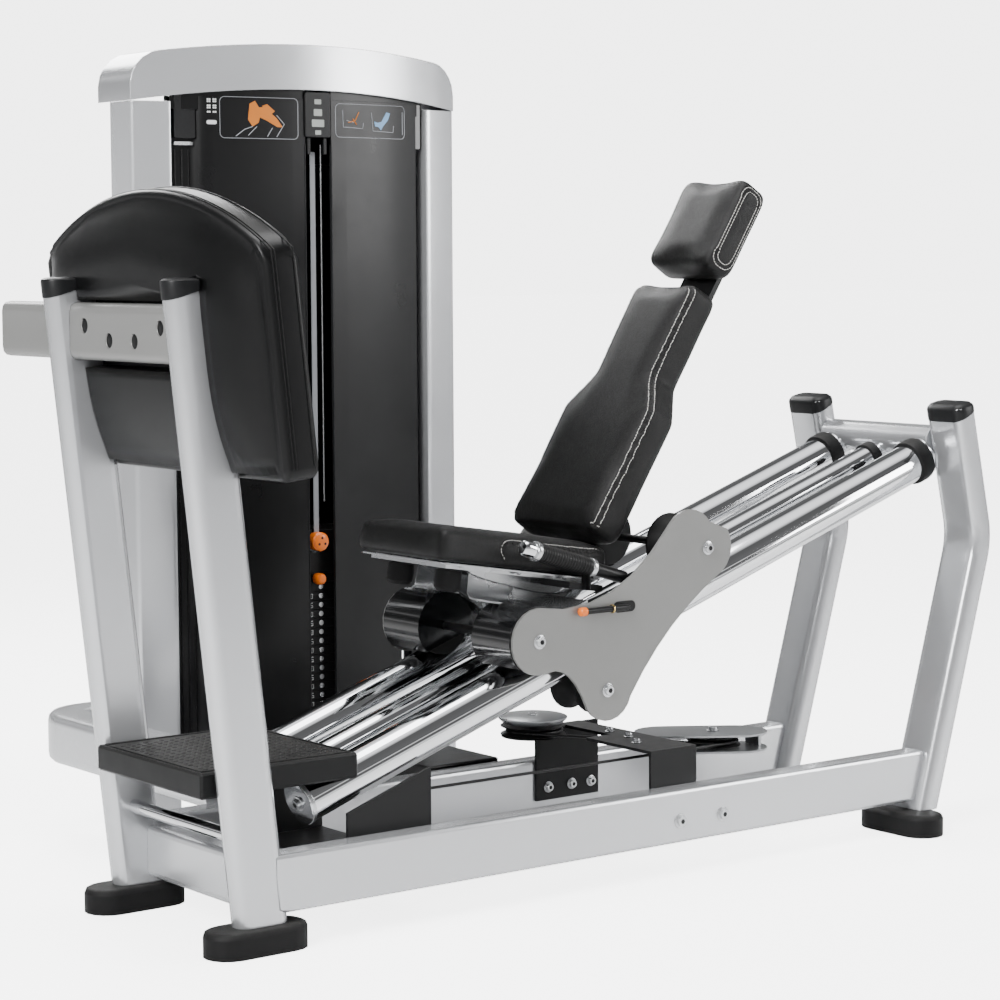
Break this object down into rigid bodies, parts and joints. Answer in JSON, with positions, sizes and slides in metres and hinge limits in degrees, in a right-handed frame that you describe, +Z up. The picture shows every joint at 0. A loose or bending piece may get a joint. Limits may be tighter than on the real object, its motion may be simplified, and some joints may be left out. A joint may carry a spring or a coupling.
{
  "type": "leg press machine",
  "caption": "Selectorised seated leg press: a padded carriage rolls on inclined chrome guide tubes away from a fixed foot platform and lifts a weight stack in a shrouded side tower.",
  "frame": {"origin": "on the floor under the middle of the machine's bounding box", "axes": "+X runs from the foot platform to the rear uprights, +Y runs from the seat to the weight tower, +Z is up"},
  "size_m": [1.9274, 1.31, 1.607],
  "materials": {
    "silver_frame": "satin silver powder coat",
    "chrome_tube": "polished chrome",
    "grey_plate": "flat metallic grey",
    "black_steel": "satin black powder coat",
    "moulded_black": "fine moulded grain",
    "shroud_plastic": "satin charcoal moulding",
    "hood_plastic": "glossy dark moulding",
    "black_rubber": "matt rubber",
    "black_leather": "black leather-look upholstery",
    "orange_plastic": "orange control plastic",
    "zinc_steel": "brushed plated steel",
    "weight_iron": "black enamelled iron",
    "cable_sheath": "black nylon-coated steel cable"
  },
  "bodies": {
    "frame": {"near_front_post": "silver_frame", "far_front_post": "silver_frame", "near_rear_upright": "silver_frame", "far_rear_upright": "silver_frame", "near_lower_rail": "silver_frame", "far_lower_rail": "silver_frame", "front_cross_bar": "grey_plate", "front_base_tube": "silver_frame", "rear_cross_member": "silver_frame", "near_guide_tube": "chrome_tube", "far_guide_tube": "chrome_tube", "centre_tube": "chrome_tube", "rail_end_bracket": "black_steel", "foot_platform": "moulded_black", "step_platform": "moulded_black", "near_front_foot": "black_rubber", "far_front_foot": "black_rubber", "near_rear_foot": "black_rubber", "far_rear_foot": "black_rubber", "pulley_bracket": "black_steel", "rear_pulley_housing": "black_steel", "floor_cable_cover": "moulded_black", "tower_base_frame": "silver_frame", "tower_left_upright": "silver_frame", "tower_right_upright": "silver_frame", "tower_cap": "silver_frame", "left_shroud": "shroud_plastic", "right_shroud": "shroud_plastic", "rear_shroud": "shroud_plastic", "left_guide_rod": "chrome_tube", "right_guide_rod": "chrome_tube", "resting_weight_plates": "weight_iron", "pulley_hanger": "black_steel", "base_cable": "cable_sheath"},
    "carriage": {"near_side_plate": "grey_plate", "far_side_plate": "grey_plate", "near_roller_housing": "hood_plastic", "far_roller_housing": "hood_plastic", "seat_frame": "zinc_steel", "seat_cushion": "black_leather", "back_bracket": "black_steel", "back_cushion": "black_leather", "headrest_cushion": "black_leather", "near_handle": "moulded_black", "far_handle": "moulded_black"},
    "lever": {"adjust_lever": "moulded_black"},
    "front_rollers": {"front_roller_set": "black_rubber"},
    "rear_rollers": {"rear_roller_set": "black_rubber"},
    "lower_rollers": {"lower_roller_set": "black_rubber"},
    "weight_stack": {"selected_weight_plate": "weight_iron", "head_plate": "weight_iron", "selector_stem": "zinc_steel", "stack_cable": "cable_sheath"},
    "pin": {"selector_pin": "orange_plastic"},
    "dial": {"increment_dial": "orange_plastic"},
    "front_floor_pulley_turn": {"front_floor_pulley": "moulded_black"},
    "rear_floor_pulley_turn": {"rear_floor_pulley": "moulded_black"},
    "tower_low_pulley_turn": {"tower_low_pulley": "moulded_black"},
    "tower_side_pulley_turn": {"tower_side_pulley": "moulded_black"},
    "tower_top_pulley_turn": {"tower_top_pulley": "moulded_black"}
  },
  "joints": [
    {"name": "carriage_slide", "type": "slide", "parent": "frame", "child": "carriage", "axis": [0.9455, 0, 0.3256], "range_m": [0, 0.45]},
    {"name": "weight_lift", "type": "slide", "parent": "frame", "child": "weight_stack", "axis": [0, 0, 1], "range_m": [0, 0.45], "deforming": ["stack_cable"]},
    {"name": "selector_pin_pull", "type": "slide", "parent": "weight_stack", "child": "pin", "axis": [0, -1, 0], "range_m": [0, 0.07]},
    {"name": "increment_dial_turn", "type": "hinge", "parent": "weight_stack", "child": "dial", "pos_m": [-0.074, 0.421, 0.577], "axis": [0, 1, 0], "range_deg": [0, 90]},
    {"name": "adjust_lever_lift", "type": "hinge", "parent": "carriage", "child": "lever", "pos_m": [0.009, -0.499, 0.521], "axis": [0, 1, 0], "range_deg": [0, 22], "stiffness_Nm_per_rad": 0.5, "springref_deg": -8.59},
    {"name": "front_rollers_roll", "type": "hinge", "parent": "carriage", "child": "front_rollers", "pos_m": [-0.1868, -0.285, 0.4728], "axis": [0, 1, 0], "range_deg": [-5, 657.7]},
    {"name": "rear_rollers_roll", "type": "hinge", "parent": "carriage", "child": "rear_rollers", "pos_m": [0.2216, -0.285, 0.6166], "axis": [0, 1, 0], "range_deg": [-5, 611.7]},
    {"name": "lower_rollers_roll", "type": "hinge", "parent": "carriage", "child": "lower_rollers", "pos_m": [-0.0259, -0.285, 0.368], "axis": [0, 1, 0], "range_deg": [-836.7, 5]},
    {"name": "front_floor_pulley_spin", "type": "hinge", "parent": "frame", "child": "front_floor_pulley_turn", "pos_m": [0.086, -0.12, 0.232], "axis": [0, 0, 1], "range_deg": [-449.5, 5]},
    {"name": "rear_floor_pulley_spin", "type": "hinge", "parent": "frame", "child": "rear_floor_pulley_turn", "pos_m": [0.356, -0.355, 0.213], "axis": [0, 0, 1], "range_deg": [-542.1, 5]},
    {"name": "tower_low_pulley_spin", "type": "hinge", "parent": "frame", "child": "tower_low_pulley_turn", "pos_m": [0.156, 0.477, 0.275], "axis": [1, 0, 0], "range_deg": [-763.3, 5]},
    {"name": "tower_side_pulley_spin", "type": "hinge", "parent": "frame", "child": "tower_side_pulley_turn", "pos_m": [0.121, 0.481, 1.425], "axis": [0, 1, 0], "range_deg": [-5, 741.7]},
    {"name": "tower_top_pulley_spin", "type": "hinge", "parent": "frame", "child": "tower_top_pulley_turn", "pos_m": [-0.039, 0.481, 1.425], "axis": [0, 1, 0], "range_deg": [-5, 741.7]}
  ],
  "couplings": [
    {"joint": "weight_lift", "follows": "carriage_slide", "ratio": 1},
    {"joint": "front_rollers_roll", "follows": "carriage_slide", "rad_per_m": 25.317},
    {"joint": "rear_rollers_roll", "follows": "carriage_slide", "rad_per_m": 23.529},
    {"joint": "lower_rollers_roll", "follows": "carriage_slide", "rad_per_m": -32.258},
    {"joint": "front_floor_pulley_spin", "follows": "carriage_slide", "rad_per_m": -17.241},
    {"joint": "rear_floor_pulley_spin", "follows": "carriage_slide", "rad_per_m": -20.833},
    {"joint": "tower_low_pulley_spin", "follows": "carriage_slide", "rad_per_m": -29.412},
    {"joint": "tower_side_pulley_spin", "follows": "carriage_slide", "rad_per_m": 28.571},
    {"joint": "tower_top_pulley_spin", "follows": "carriage_slide", "rad_per_m": 28.571}
  ]
}
